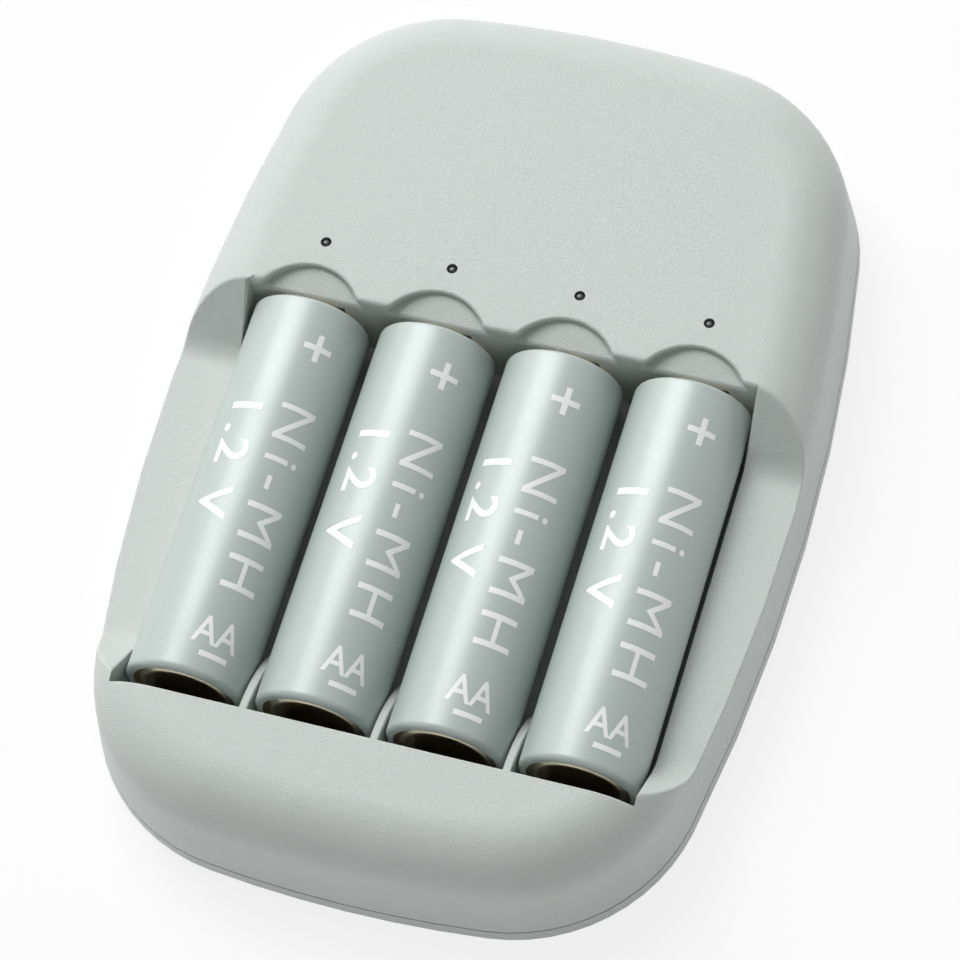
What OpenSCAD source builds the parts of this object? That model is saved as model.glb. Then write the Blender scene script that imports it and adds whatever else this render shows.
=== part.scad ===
// Charger for four AA cells: a pillow-shaped two-part housing, flat on the table, with an open
// bay for the cells at one end and the mains electronics under the plain top at the other.
// X runs along the row of cells, Y towards their plus ends, Z up from the table.

/* [Body] */
// Length over both ends, at the widest level
body_length = 112.8; // [110:0.1:118]
// Width over both sides, at the widest level
body_width = 78.2; // [77:0.1:84]
// Height of the flat top above the table
body_height = 17.3; // [16.9:0.1:19]
// Plan radius of the long, slightly bulging sides
side_radius = 220; // [180:5:400]
// Plan radius of the two ends
end_radius = 150; // [120:5:300]
// Plan radius of the four corners
corner_radius = 22; // [20:0.5:24]
// Radius of the soft edge round the top
top_fillet = 7.3; // [6.5:0.1:8]
// Lean of the side walls, in degrees from upright
wall_draft = 6.5; // [2:0.5:7]
// Radius of the edge round the underside
bottom_round = 1.6; // [0.8:0.1:2]
// Thickness of the housing's walls and top
wall = 2; // [1.6:0.1:2.2]
// Height of the parting line between housing and base cover
seam_z = 3.1; // [2.8:0.1:3.4]
// Width of the open parting line
seam_gap = 0.2; // [0.1:0.05:0.3]
// Length of the nose, from the near end to the bay
nose_length = 15.2; // [15:0.1:18]

/* [Cells] */
// Diameter of a cell over its sleeve
cell_d = 14.3; // [13.8:0.1:14.5]
// Length of the sleeve
sleeve_length = 49; // [48:0.1:49.5]
// Thickness of the sleeve
sleeve_wall = 0.2; // [0.15:0.05:0.3]
// How far the sleeve laps over the flat of the can's two ends
sleeve_lap = 0.9; // [0.6:0.1:1.2]
// Radius of the can's two edges
can_edge = 0.8; // [0.6:0.1:1]
// Height of the plus button above the sleeve
button_h = 1.4; // [1:0.1:2]
// Diameter of the plus button
button_d = 5.5; // [4.5:0.1:5.5]
// Bevel round the plus button
button_bevel = 0.3; // [0.2:0.05:0.5]
// Distance from one cell to the next
cell_pitch = 15.63; // [15.3:0.01:15.8]
// Height of the cells' axes above the table
cell_axis_z = 11.2; // [11:0.1:11.6]

/* [Bay] */
// Width of the bay between its side walls
bay_width = 62; // [61.6:0.1:63]
// Gap between the sleeve's minus end and the near wall
bay_near_gap = 2.3; // [2:0.1:2.6]
// Thickness of the bay's end and side walls
bay_wall = 1.6; // [1.4:0.1:1.8]
// Height of the flat floor between the cradles
bay_floor_z = 5.6; // [5:0.1:6.4]
// Play between a cradle and its cell, in radius
cradle_play = 0.1; // [0.05:0.05:0.2]
// Height of the low side rails
rail_z = 9.9; // [9:0.1:10.5]
// Slope of the ramps at both ends of a rail, in degrees
ramp_angle = 46; // [40:1:60]
// Radius where a ramp runs into its rail
ramp_blend = 4; // [2:0.5:6]
// Thickness of the ribs between the cells
rib_t = 1; // [0.7:0.1:1]
// Radius of the ribs' curved tops
rib_radius = 12.5; // [11:0.5:13.5]
// Drop of a rib's curve below the cells' axes
rib_drop = 10; // [9:0.5:10]

/* [Finger scallops and indicators] */
// Plan radius of a scallop
scallop_r = 6.9; // [6:0.1:7]
// How far a scallop reaches behind the bay
scallop_reach = 3.5; // [2.5:0.1:4]
// Depth of a scallop at its far edge
scallop_depth = 0.7; // [0.4:0.1:1]
// Slope of a scallop's floor, in degrees
scallop_tilt = 18; // [10:1:22]
// Distance from the bay to the row of indicators
indicator_gap = 6.65; // [6:0.05:8]
// Diameter of a light pipe at the top
pipe_d = 1.1; // [0.9:0.1:2]
// Play round a light pipe, in diameter
pipe_play = 0.2; // [0.1:0.05:0.3]
// Diameter of a light pipe's collar
collar_d = 2.6; // [2.4:0.1:3.4]
// Thickness of a light pipe's collar
collar_t = 1; // [0.6:0.1:1.5]
// Width of an indicator's diode
diode_w = 2; // [1.6:0.1:2.2]
// Length of an indicator's diode
diode_l = 1.3; // [1:0.1:1.4]
// Height of an indicator's diode
diode_h = 0.9; // [0.6:0.1:1.2]

/* [Base cover] */
// Thickness of the base plate
base_t = 2; // [1.6:0.1:2.2]
// Gap between the cover's lip and the housing's wall
lip_gap = 0.6; // [0.5:0.05:0.8]
// Thickness of the lip
lip_t = 1.2; // [1:0.1:1.4]
// Height of the lip's upper edge
lip_z = 4.8; // [4.2:0.1:5]
// Distance of the nose's two screws from the middle
near_screw_x = 16; // [14:0.5:20]
// Distance of the other two screws from the board's bay edge
far_screw_y = 13; // [11:0.5:15]
// Gap between a screw's well and the bus strip
well_gap = 0.2; // [0.2:0.1:0.6]
// Gap between a screw's well and the board
well_clear = 0.5; // [0.3:0.1:1]
// Diameter of a screw's well
well_d = 5.6; // [5.4:0.1:6]
// Diameter round a screw's well
well_outer_d = 8; // [7.8:0.1:8.2]
// Height of a well's floor, where the head sits
well_z = 3.4; // [3:0.1:3.6]
// Thickness of a well's floor
well_floor = 1.6; // [1.2:0.1:1.8]
// Diameter of the housing's screw posts
post_d = 6.4; // [6:0.1:7]

/* [Screws] */
// Diameter of a housing screw's shank
screw_d = 2.5; // [2.2:0.1:2.6]
// Diameter of a housing screw's head
head_d = 5; // [4.4:0.1:5.2]
// Height of a housing screw's head
head_h = 1.9; // [1.6:0.1:2.2]
// Length of a housing screw's shank
screw_length = 8; // [7:0.5:9]
// Diameter of a board screw's shank
board_screw_d = 2.2; // [2:0.1:2.3]
// Diameter of a board screw's head
board_head_d = 4; // [3.6:0.1:4.4]
// Height of a board screw's head
board_head_h = 1.4; // [1.2:0.1:1.6]
// Length of a board screw's shank
board_screw_length = 6; // [5:0.5:7]
// Play of a shank in its hole, in diameter
screw_play = 0.1; // [0.05:0.05:0.2]
// Rim left between a cross recess and the edge of its head
recess_rim = 0.9; // [0.7:0.1:1.2]
// Width of the slot of a cross recess
recess_w = 0.8; // [0.6:0.1:1]
// Depth of a cross recess
recess_depth = 1; // [0.8:0.1:1.2]

/* [Board] */
// Length of the circuit board
board_l = 25.6; // [25.4:0.1:27]
// Edge of the board beyond the outermost contacts' tails
board_margin = 1.2; // [1:0.1:2]
// Thickness of the circuit board
board_t = 1.6; // [1.2:0.1:1.6]
// Height of the board's underside
board_z = 4.4; // [4.2:0.1:4.6]
// Gap between the bay's far wall and the board
board_gap = 1.4; // [1:0.1:1.6]
// Gap between the board's outline and what stands beside it
board_clear = 0.4; // [0.3:0.1:0.6]
// Distance of the board's two screws from its bay edge
board_screw_y = 7.2; // [6.5:0.1:7.4]
// Diameter of the posts that carry the board
board_post_d = 5; // [4.6:0.1:5.2]
// How far leads stand out below the board
lead_out = 0.8; // [0.5:0.1:1.2]

/* [Parts on the board] */
// Width of the transformer's coil former
transformer_w = 12.4; // [11:0.1:12.6]
// Length of the transformer's coil former
transformer_l = 15; // [13:0.5:15]
// Gap between the transformer's core and the ceiling
transformer_gap = 0.6; // [0.3:0.1:1.5]
// Thickness of the former's flanges
flange_t = 1.4; // [1:0.1:1.8]
// Width of the ferrite core
core_w = 6.6; // [6:0.1:7]
// Height of the core's underside above the board
core_lift = 0.8; // [0.4:0.1:1.2]
// How far the core stands above the former
core_rise = 0.3; // [0.1:0.1:0.5]
// Length of the coil along the board
coil_l = 10; // [8:0.5:12]
// Height of the flanges above and below the coil
coil_inset = 0.6; // [0.4:0.1:1]
// Length of the input capacitor, which lies on its side
input_cap_l = 12.5; // [11:0.1:12.6]
// Gap between the input capacitor and the line of the inlet's side
input_cap_side = 0.6; // [0.4:0.1:1]
// Diameter of the output capacitor, which stands
output_cap_d = 6.3; // [5:0.1:6.3]
// Place of the output capacitor across the board
output_cap_x = 19.2; // [19:0.1:19.4]
// Distance of the output capacitor from the board's bay edge
output_cap_y = 11.65; // [11.65:0.05:12]
// Gap between both capacitors and the ceiling
cap_gap = 1.3; // [0.6:0.1:2]
// Depth of the crimped groove round a capacitor
crimp = 0.4; // [0.2:0.05:0.5]
// Height of the crimped groove
crimp_z = 1.6; // [1.2:0.1:2]
// Width of the fuse
fuse_w = 4.2; // [3.6:0.1:4.2]
// Length of the fuse
fuse_l = 8.4; // [8:0.1:8.6]
// Gap between the fuse and the ceiling
fuse_gap = 2.3; // [1:0.1:3]
// Place of the fuse across the board
fuse_x = 11; // [11:0.1:11.2]
// Distance of the fuse's middle from the board's bay edge
fuse_y = 10.8; // [10:0.1:11]
// Width of the bridge rectifier
rectifier_w = 4.7; // [4:0.1:4.8]
// Length of the bridge rectifier
rectifier_l = 3.9; // [3.6:0.1:4]
// Height of the bridge rectifier
rectifier_h = 2.5; // [2:0.1:3]
// Place of the bridge rectifier across the board
rectifier_x = -22.5; // [-23:0.1:-22]
// Distance of the bridge rectifier's middle from the board's bay edge
rectifier_y = 6.5; // [6.4:0.1:6.7]
// Width of the control chip
chip_w = 9.9; // [9:0.1:10]
// Length of the control chip
chip_l = 3.9; // [3.5:0.1:4]
// Height of the control chip
chip_h = 1.5; // [1:0.1:1.8]
// Distance of the chip's middle from the board's bay edge
chip_y = 7.4; // [7:0.1:8]
// Width of a chip's leg
leg_w = 0.4; // [0.3:0.05:0.5]
// Reach of a chip's leg
leg_l = 1; // [0.8:0.1:1.2]
// Thickness of a chip's leg
leg_t = 0.2; // [0.15:0.05:0.3]
// Distance from one chip leg to the next
leg_pitch = 1.27; // [1.2:0.01:1.3]

/* [Inlet] */
// Width of the inlet's block
inlet_w = 18.6; // [18.2:0.1:18.7]
// Gap between the inlet's block and the ceiling
inlet_roof = 1.6; // [1.4:0.1:2]
// Depth of the inlet's block
inlet_depth = 12; // [11:0.5:13]
// How far the inlet's face stands back from the end of the body
inlet_setback = 2.5; // [2.4:0.1:3]
// Diameter of each round of the figure-of-eight socket
socket_d = 8.2; // [8:0.1:8.4]
// Height of the socket's waist
waist_h = 6.6; // [6:0.1:7]
// Depth of the socket
socket_depth = 10; // [9:0.5:10.5]
// Distance between the two pins
pin_pitch = 8.6; // [8.4:0.1:8.7]
// Diameter of a pin
pin_d = 2.4; // [2.2:0.1:2.4]
// How far a pin stands back inside the socket's mouth
pin_setback = 1; // [0.5:0.5:2]
// Shortest run of a pin behind the block, before it turns down
pin_reach = 4.1; // [3:0.1:4.4]
// Distance of the pins from the board's far edge
pin_edge = 2.2; // [2:0.1:3]

/* [Contacts] */
// Thickness of the contacts' strip
strip_t = 0.4; // [0.3:0.05:0.5]
// Width of a contact
contact_w = 7.6; // [6:0.2:8]
// How far a plus contact's face stands back in the bay's far wall
contact_sink = 0.1; // [0.05:0.05:0.3]
// Height of a contact's lower end
contact_foot_z = 7.4; // [7:0.1:8]
// Width of a contact's tail
tail_w = 4; // [3:0.5:5]
// Drop of a contact's tail below the ceiling, where it passes through its wall
tail_gap = 1.3; // [1.1:0.1:1.7]
// Distance of the tails from the board's bay edge
tail_inset = 1.2; // [1:0.1:1.4]
// Drop of a minus contact's bow below the cell's axis, where it first touches
bow_low = 3.4; // [3:0.1:3.6]
// Drop of a minus contact's bow below the cell's axis, where it leaves the cell
bow_top = 1.2; // [0.6:0.1:1.8]
// How far a minus contact turns out at its lower end
bow_foot = 0.6; // [0.5:0.1:0.8]
// Gap between the bow's upper end and the strip behind it
bow_head = 0.8; // [0.6:0.1:1]
// Drop of the bow's upper end below the tail
bow_drop = 1.2; // [1:0.1:1.6]
// Thickness of the bus strip that gathers the minus contacts
bus_t = 0.5; // [0.4:0.1:0.6]
// Width of the bus strip
bus_w = 3; // [2:0.5:4]
// Height of the bus's cross bar
bus_bar_h = 6; // [5:0.5:7]
// Gap between the bay's near wall and the bus
bus_gap = 1.2; // [1:0.1:1.4]
// Play round a metal strip in plastic
strip_play = 0.2; // [0.15:0.05:0.3]

/* [Hidden] */
$fn = 48;

shell_grey = [0.78, 0.81, 0.79];
sleeve_grey = [0.66, 0.71, 0.69];
steel = [0.72, 0.71, 0.69];
nickel = [0.62, 0.58, 0.52];
black = [0.12, 0.12, 0.13];
board_green = [0.13, 0.36, 0.22];
pipe_grey = [0.25, 0.27, 0.27];
tape = [0.75, 0.62, 0.2];
resin = [0.9, 0.9, 0.85];

eps = 0.01;
far_out = 200;
half_l = body_length / 2;
half_w = body_width / 2;
chip_legs = 8;
cells = 4;

// The plan is eight tangent arcs: the corner's centre is where the circles round the side's and
// the end's centres, each smaller by the corner's radius, cross.
side_c = [half_w - side_radius, 0];
end_c = [0, half_l - end_radius];
centre_span = norm(end_c - side_c);
along = (end_c - side_c) / centre_span;
side_run = side_radius - corner_radius;
end_run = end_radius - corner_radius;
reach = (side_run ^ 2 - end_run ^ 2 + centre_span ^ 2) / (2 * centre_span);
rise = sqrt(side_run ^ 2 - reach ^ 2);
corner_c = side_c + reach * along + rise * [-along.y, along.x];
side_angle = atan2(corner_c.y, corner_c.x - side_c.x);
end_angle = atan2(corner_c.y - end_c.y, corner_c.x);
side_steps = 6;
end_steps = 6;
corner_steps = 12;
arc_fn = 96;
pipe_fn = 24;
fillet_steps = 10;
round_steps = 4;

// Stations round the plan: the centre, radius and direction of the arc at each one. An arc's last
// station is the next arc's first.
function arc_stations(c, r, from, to, steps) =
    [for (i = [0:steps - 1]) [c, r, from + (to - from) * i / steps]];
function half_plan(turn) = let (flip = turn == 0 ? 1 : -1) concat(
    arc_stations(flip * side_c, side_radius, turn - side_angle, turn + side_angle, side_steps),
    arc_stations(flip * corner_c, corner_radius, turn + side_angle, turn + end_angle, corner_steps),
    arc_stations(flip * end_c, end_radius, turn + end_angle, turn + 180 - end_angle, end_steps),
    arc_stations(flip * [-corner_c.x, corner_c.y], corner_radius,
        turn + 180 - end_angle, turn + 180 - side_angle, corner_steps));
plan = concat(half_plan(0), half_plan(180));
function plan_point(station, inset) =
    station[0] + (station[1] - inset) * [cos(station[2]), sin(station[2])];

// The bay
bay_near_y = nose_length - half_l;
cell_start_y = bay_near_y + bay_near_gap;
cell_length = sleeve_length + button_h;
button_y = cell_start_y + cell_length;
bay_far_y = button_y - contact_sink;
bay_half = bay_width / 2;
cell_r = cell_d / 2;
can_r = cell_r - sleeve_wall;
cradle_r = cell_r + cradle_play;
cell_x = [for (k = [0:cells - 1]) (k - (cells - 1) / 2) * cell_pitch];
tub_near_y = bay_near_y - bay_wall;
tub_far_y = bay_far_y + bay_wall;
tub_half = bay_half + bay_wall;
ramp_run = (body_height - rail_z) / tan(ramp_angle);
blend_run = ramp_blend * tan(ramp_angle / 2);

// Heights inside, and what stands under the ceiling
ceiling_z = body_height - wall;
board_top = board_z + board_t;
post_z = well_z + well_floor;
tail_z = ceiling_z - tail_gap;
bus_z = base_t + strip_play;
inlet_h = ceiling_z - inlet_roof - seam_z;
inlet_z = seam_z + inlet_h / 2;
transformer_h = ceiling_z - transformer_gap - core_rise - board_top;
input_cap_d = ceiling_z - cap_gap - board_top;
output_cap_h = ceiling_z - cap_gap - board_top;
fuse_h = ceiling_z - fuse_gap - board_top;

// Places along and across the body
board_w = cell_x[cells - 1] - cell_x[0] + tail_w + 2 * board_margin;
board_near_y = tub_far_y + board_gap;
board_far_y = board_near_y + board_l;
indicator_y = bay_far_y + indicator_gap;
inlet_face_y = half_l - inlet_setback;
inlet_back_y = inlet_face_y - inlet_depth;
pin_turn_y = min(inlet_back_y - pin_reach, board_far_y - pin_edge);
contact_y = button_y + strip_t / 2;
tail_y = board_near_y + tail_inset;
can_end_y = cell_start_y + sleeve_wall;
bus_y = tub_near_y - bus_gap;
near_screw_y = bus_y - bus_t - well_gap - well_outer_d / 2;
far_screw_x = cell_pitch + transformer_w / 2 + board_clear + well_clear + well_outer_d / 2;
lip_inset = wall + lip_gap;

// Radius and length of a cell's can from the minus end to the plus button, then of its sleeve
can_low = sleeve_wall;
can_high = sleeve_length - sleeve_wall;
hem_r = can_r - can_edge - sleeve_lap;
sleeve_edge = can_edge + sleeve_wall;
function low_edge(r, edge, low) = [for (i = [0:round_steps]) let (a = 90 * i / round_steps)
    [r - edge + edge * sin(a), low + edge - edge * cos(a)]];
function high_edge(r, edge, high) = [for (i = [0:round_steps]) let (a = 90 * i / round_steps)
    [r - edge + edge * cos(a), high - edge + edge * sin(a)]];
function backwards(points) = [for (i = [len(points) - 1:-1:0]) points[i]];
can_shell = concat(low_edge(can_r, can_edge, can_low), high_edge(can_r, can_edge, can_high));
can_points = concat([[0, can_low]], can_shell, [[button_d / 2, can_high],
    [button_d / 2, cell_length - button_bevel], [button_d / 2 - button_bevel, cell_length],
    [0, cell_length]]);
sleeve_points = concat([[hem_r, 0]], low_edge(cell_r, sleeve_edge, 0),
    high_edge(cell_r, sleeve_edge, sleeve_length), [[hem_r, sleeve_length], [hem_r, can_high]],
    backwards(can_shell), [[hem_r, can_low]]);

// Points of the walls as [inset, height], from the table up to the flat top. The fillet's centre
// lies where it touches both the leaning wall and the top.
function fillet_inset(r, top, foot) =
    r * cos(wall_draft) + (top - r + r * sin(wall_draft) - foot) * tan(wall_draft);
function fillet_points(r, top, foot, steps) = [for (i = [0:steps])
    let (a = wall_draft + (90 - wall_draft) * i / steps)
    [fillet_inset(r, top, foot) - r * cos(a), top - r + r * sin(a)]];
function round_points(r, steps) = [for (i = [0:steps])
    [r * (1 - sin(90 * i / steps)), r * (1 - cos(90 * i / steps))]];
outer_points = concat(round_points(bottom_round, round_steps),
    fillet_points(top_fillet, body_height, bottom_round, fillet_steps));
inner_points = [for (p = concat([[-bottom_round * tan(wall_draft), 0]],
    fillet_points(top_fillet - wall, ceiling_z, bottom_round, round_steps)))
    [p.x + wall, p.y]];
function upright_points(inset, low, high) = [[inset, low], [inset, high]];

// A solid with the body's plan and the given wall
module pillow(points) {
    count = len(plan);
    top = len(points) - 1;
    polyhedron(
        points = [for (p = points, station = plan) concat(plan_point(station, p.x), p.y)],
        faces = concat([[for (i = [0:count - 1]) i]],
            [for (row = [0:top - 1], i = [0:count - 1]) let (next = (i + 1) % count)
                [row * count + i, (row + 1) * count + i,
                    (row + 1) * count + next, row * count + next]],
            [[for (i = [count - 1:-1:0]) top * count + i]]));
}

module block(low, high) {
    translate(low) cube(high - low);
}

module rod(y_low, y_high, r) {
    translate([0, y_high, 0]) rotate([90, 0, 0]) cylinder(r = r, h = y_high - y_low);
}

module at_screws() {
    for (side = [-1, 1]) {
        translate([side * near_screw_x, near_screw_y, 0]) children();
        translate([side * far_screw_x, board_near_y + far_screw_y, 0]) children();
    }
}

module at_board_screws() {
    for (side = [-1, 1])
        translate([side * cell_pitch, board_near_y + board_screw_y, 0]) children();
}

// A strip bent along points in the YZ plane, with mitred corners
function heading(a, b) = (b - a) / norm(b - a);
function side_step(path, i) =
    let (last = len(path) - 1,
        before = heading(path[max(i - 1, 0)], path[max(i, 1)]),
        after = heading(path[min(i, last - 1)], path[min(i + 1, last)]),
        mid = (before + after) / norm(before + after))
    [-mid.y, mid.x] / (mid * before);
module bent_strip(path, width) {
    steps = [for (i = [0:len(path) - 1]) side_step(path, i) * strip_t / 2];
    back = [for (i = [len(path) - 1:-1:0]) path[i] - steps[i]];
    translate([-width / 2, 0, 0]) rotate([90, 0, 90]) linear_extrude(width)
        polygon(concat([for (i = [0:len(path) - 1]) path[i] + steps[i]], back));
}

// The part of the bay that is open: floor, cradles and the ribs left standing between the cells
module bay_space() {
    difference() {
        block([-bay_half, bay_near_y, bay_floor_z], [bay_half, bay_far_y, far_out]);
        for (k = [0:cells - 2]) translate([cell_x[k] + (cell_pitch - rib_t) / 2, 0, 0]) intersection() {
            block([0, bay_near_y - eps, 0], [rib_t, bay_near_y + rib_radius, body_height]);
            translate([0, bay_near_y, cell_axis_z - rib_drop]) rotate([0, 90, 0])
                cylinder(r = rib_radius, h = rib_t, $fn = arc_fn);
        }
    }
    for (x = cell_x) translate([x, 0, cell_axis_z + cradle_play])
        rod(bay_near_y, bay_far_y, cradle_r, $fn = arc_fn);
}

// The cut over one rail, with a ramp at each end that runs into the rail in an arc
module saddle_space() {
    near_foot = bay_near_y + ramp_run;
    far_foot = bay_far_y - ramp_run;
    blend = [for (i = [0:round_steps]) let (a = ramp_angle * i / round_steps)
        [ramp_blend * sin(a), ramp_blend * (1 - cos(a))]];
    over = [ramp_run * 2, (body_height - rail_z) * 2];
    outline = concat(
        [for (i = [round_steps:-1:0]) [near_foot + blend_run - blend[i].x, rail_z + blend[i].y]],
        [for (p = blend) [far_foot - blend_run + p.x, rail_z + p.y]],
        [[far_foot + over.x, rail_z + over.y], [near_foot - over.x, rail_z + over.y]]);
    translate([bay_half - eps, 0, 0]) rotate([90, 0, 90]) linear_extrude(half_w) polygon(outline);
}

module scallop() {
    translate([0, bay_far_y + scallop_reach, body_height - scallop_depth]) rotate([scallop_tilt, 0, 0])
        translate([0, -scallop_r, 0]) cylinder(r = scallop_r, h = body_height, $fn = arc_fn);
}

// The hollow inside the housing: walls of the bay, rails and screw posts stay standing in it
module housing_hollow() {
    difference() {
        pillow(inner_points);
        block([-tub_half, tub_near_y, -eps], [tub_half, tub_far_y, body_height]);
        block([-half_w, tub_near_y, rail_z - wall], [half_w, tub_far_y, body_height]);
        at_screws() translate([0, 0, post_z]) cylinder(d = post_d, h = body_height);
        at_board_screws() translate([0, 0, board_top]) cylinder(d = board_post_d, h = body_height);
    }
}

module top_housing() {
    color(shell_grey) difference() {
        union() {
            intersection() {
                pillow(outer_points);
                block([-far_out, -far_out, seam_z + seam_gap / 2], [far_out, far_out, far_out]);
            }
            intersection() {
                block([-tub_half, tub_near_y, base_t], [tub_half, tub_far_y, bay_floor_z]);
                pillow(upright_points(lip_inset, 0, body_height));
            }
        }
        housing_hollow();
        bay_space();
        for (side = [0, 1]) mirror([side, 0, 0]) saddle_space();
        for (x = cell_x) translate([x, 0, 0]) {
            scallop();
            translate([0, indicator_y, 0])
                cylinder(d = pipe_d + pipe_play, h = body_height + eps, $fn = pipe_fn);
            // Pocket and slot of the plus contact, then the slot of the minus contact
            block([-contact_w / 2 - strip_play, bay_far_y - eps, contact_foot_z - strip_play],
                [contact_w / 2 + strip_play, button_y + strip_t, tail_z + strip_t / 2 + strip_play]);
            block([-tail_w / 2 - strip_play, bay_far_y, tail_z - strip_t / 2 - strip_play],
                [tail_w / 2 + strip_play, tub_far_y + eps, tail_z + strip_t / 2 + strip_play]);
            block([-tail_w / 2 - strip_play, tub_near_y - eps, tail_z - strip_t / 2 - strip_play],
                [tail_w / 2 + strip_play, bay_near_y + eps, tail_z + strip_t / 2 + strip_play]);
        }
        at_screws() cylinder(d = screw_d + screw_play, h = post_z + screw_length);
        at_board_screws()
            cylinder(d = board_screw_d + screw_play, h = board_top + board_screw_length);
        // Groove for the bus strip under the bay's floor, and the window for the inlet
        block([-bus_w / 2 - strip_play, tub_near_y - eps, base_t - eps],
            [bus_w / 2 + strip_play, tub_far_y + eps, bus_z + bus_t + strip_play]);
        block([-inlet_w / 2, inlet_back_y, base_t], [inlet_w / 2, far_out, seam_z + inlet_h]);
    }
}

module base_cover() {
    color(shell_grey) difference() {
        union() {
            difference() {
                intersection() {
                    pillow(outer_points);
                    block([-far_out, -far_out, 0], [far_out, far_out, seam_z - seam_gap / 2]);
                }
                pillow(upright_points(wall, base_t, seam_z + wall));
            }
            difference() {
                pillow(upright_points(lip_inset, base_t - eps, lip_z));
                pillow(upright_points(lip_inset + lip_t, base_t - 2 * eps, lip_z + eps));
                block([-inlet_w / 2 - strip_play, 0, base_t + eps],
                    [inlet_w / 2 + strip_play, far_out, far_out]);
                block([-tub_half - lip_gap, tub_near_y - lip_gap, base_t + eps],
                    [tub_half + lip_gap, tub_far_y + lip_gap, far_out]);
            }
            at_screws() cylinder(d = well_outer_d, h = post_z);
        }
        at_screws() {
            translate([0, 0, -eps]) cylinder(d = well_d, h = well_z + eps);
            cylinder(d = screw_d + screw_play, h = post_z + eps);
        }
    }
}

module screw(shank_d, shank_l, top_d, top_h) {
    difference() {
        union() {
            translate([0, 0, -eps]) cylinder(d = shank_d, h = shank_l + eps);
            translate([0, 0, -top_h]) cylinder(d = top_d, h = top_h);
        }
        for (turn = [0, 90]) rotate(turn)
            block([recess_rim - top_d / 2, -recess_w / 2, -top_h - eps],
                [top_d / 2 - recess_rim, recess_w / 2, recess_depth - top_h]);
    }
}

module housing_screws() {
    color(steel) at_screws() translate([0, 0, well_z])
        screw(screw_d, screw_length, head_d, head_h);
}

module board_screws() {
    color(steel) at_board_screws() translate([0, 0, board_z])
        screw(board_screw_d, board_screw_length, board_head_d, board_head_h);
}

module circuit_board() {
    color(board_green) difference() {
        intersection() {
            block([-board_w / 2, board_near_y, board_z], [board_w / 2, board_far_y, board_top]);
            pillow(upright_points(lip_inset + lip_t + board_clear, 0, body_height));
        }
        block([-inlet_w / 2 - board_clear, inlet_back_y - board_clear, 0],
            [inlet_w / 2 + board_clear, far_out, body_height]);
        at_screws() cylinder(d = well_outer_d + 2 * well_clear, h = body_height);
        at_board_screws() cylinder(d = board_screw_d + screw_play, h = board_top + eps);
        for (x = cell_x) block([x - tail_w / 2 - strip_play, tail_y - strip_t / 2 - strip_play, 0],
            [x + tail_w / 2 + strip_play, tail_y + strip_t / 2 + strip_play, body_height]);
        block([-bus_w / 2 - strip_play, tail_y - strip_play, 0],
            [bus_w / 2 + strip_play, tail_y + bus_t + strip_play, body_height]);
        for (side = [-1, 1]) translate([side * pin_pitch / 2, pin_turn_y, 0])
            cylinder(d = pin_d + strip_play, h = board_top + eps);
    }
}

module mains_inlet() {
    color(black) difference() {
        block([-inlet_w / 2, inlet_back_y, seam_z], [inlet_w / 2, inlet_face_y, seam_z + inlet_h]);
        translate([0, 0, inlet_z]) {
            for (side = [-1, 1]) translate([side * pin_pitch / 2, 0, 0]) {
                rod(inlet_face_y - socket_depth, inlet_face_y + eps, socket_d / 2);
                rod(inlet_back_y - eps, inlet_face_y, pin_d / 2);
            }
            block([-pin_pitch / 2, inlet_face_y - socket_depth, -waist_h / 2],
                [pin_pitch / 2, inlet_face_y + eps, waist_h / 2]);
        }
    }
}

// One pin, bent down at its inner end into the board
module inlet_pin(side) {
    color(steel) translate([side * pin_pitch / 2, 0, 0]) {
        translate([0, 0, inlet_z]) rod(pin_turn_y, inlet_face_y - pin_setback, pin_d / 2);
        translate([0, pin_turn_y, board_z - lead_out])
            cylinder(d = pin_d, h = inlet_z - board_z + lead_out);
        translate([0, pin_turn_y, inlet_z]) sphere(d = pin_d);
    }
}

// A block that stands on the board, given its middle's place and its sizes
module on_board(x, y, w, l, h) {
    translate([x - w / 2, board_near_y + y - l / 2, board_top]) cube([w, l, h]);
}

// Coil former with a flange at each side, its ferrite core and the coil, between two light pipes
module transformer() {
    middle_y = board_l - board_clear - transformer_l / 2;
    color(tape) translate([-cell_pitch, 0, 0]) {
        for (side = [-1, 1])
            on_board(side * (transformer_w - flange_t) / 2, middle_y,
                flange_t, transformer_l, transformer_h);
        translate([0, 0, core_lift])
            on_board(0, middle_y, core_w, transformer_l, transformer_h + core_rise - core_lift);
        translate([0, 0, coil_inset])
            on_board(0, middle_y, transformer_w - flange_t, coil_l, transformer_h - 2 * coil_inset);
    }
}

// A can with a crimped groove near its sealed end
module capacitor(d, l) {
    rotate_extrude() polygon([[0, 0], [d / 2 - crimp, 0], [d / 2, crimp], [d / 2, crimp_z - crimp],
        [d / 2 - crimp, crimp_z], [d / 2, crimp_z + crimp], [d / 2, l - crimp],
        [d / 2 - crimp, l], [0, l]]);
}

module input_capacitor() {
    color(black) translate([inlet_w / 2 + input_cap_side,
        board_far_y - board_clear - input_cap_d / 2, board_top + input_cap_d / 2])
        rotate([0, 90, 0]) capacitor(input_cap_d, input_cap_l);
}

module output_capacitor() {
    color(black) translate([output_cap_x, board_near_y + output_cap_y, board_top])
        capacitor(output_cap_d, output_cap_h);
}

module control_chip() {
    color(black) {
        on_board(0, chip_y, chip_w, chip_l, chip_h);
        for (k = [0:chip_legs - 1]) translate([(k - (chip_legs - 1) / 2) * leg_pitch, 0, 0])
            on_board(0, chip_y, leg_w, chip_l + 2 * leg_l, leg_t);
    }
}

module fuse() {
    color(black) on_board(fuse_x, fuse_y, fuse_w, fuse_l, fuse_h);
}

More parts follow.
